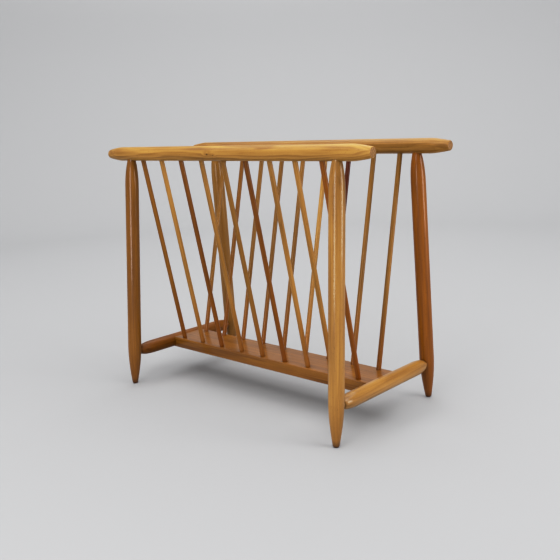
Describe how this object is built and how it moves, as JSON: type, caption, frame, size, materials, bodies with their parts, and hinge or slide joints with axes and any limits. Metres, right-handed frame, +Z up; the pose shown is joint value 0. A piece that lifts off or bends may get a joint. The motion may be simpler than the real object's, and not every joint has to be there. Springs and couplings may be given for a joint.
{
  "type": "newspaper rack",
  "caption": "Freestanding turned-wood newspaper rack: two outward-leaning rows of slim spindles form a V-shaped trough between long handle rails on splayed legs.",
  "frame": {"origin": "on the floor, under the middle of the rack, at the centre of the bounding box's bottom face", "axes": "+X along the handle rails, +Y from the front spindle row to the back one, +Z up"},
  "size_m": [0.577, 0.2716, 0.432],
  "materials": {
    "wood_straw": "satin clear lacquer",
    "wood_honey": "satin clear lacquer",
    "wood_amber": "satin clear lacquer",
    "wood_chestnut": "satin clear lacquer",
    "wood_russet": "satin clear lacquer"
  },
  "bodies": {
    "root": {"bottom_board": "wood_amber", "rail_front": "wood_straw", "rail_back": "wood_honey", "leg_front_left": "wood_amber", "leg_back_left": "wood_amber", "leg_front_right": "wood_honey", "leg_back_right": "wood_chestnut", "stretcher_left": "wood_russet", "stretcher_right": "wood_honey", "dowel_left_front": "wood_honey", "dowel_left_back": "wood_honey", "dowel_right_front": "wood_honey", "dowel_right_back": "wood_honey", "spindle_front_1": "wood_amber", "spindle_front_2": "wood_honey", "spindle_front_3": "wood_russet", "spindle_front_4": "wood_honey", "spindle_front_5": "wood_amber", "spindle_front_6": "wood_russet", "spindle_front_7": "wood_honey", "spindle_front_8": "wood_honey", "spindle_front_9": "wood_chestnut", "spindle_back_1": "wood_amber", "spindle_back_2": "wood_amber", "spindle_back_3": "wood_amber", "spindle_back_4": "wood_amber", "spindle_back_5": "wood_amber", "spindle_back_6": "wood_straw", "spindle_back_7": "wood_russet", "spindle_back_8": "wood_amber", "spindle_back_9": "wood_amber"}
  },
  "joints": []
}
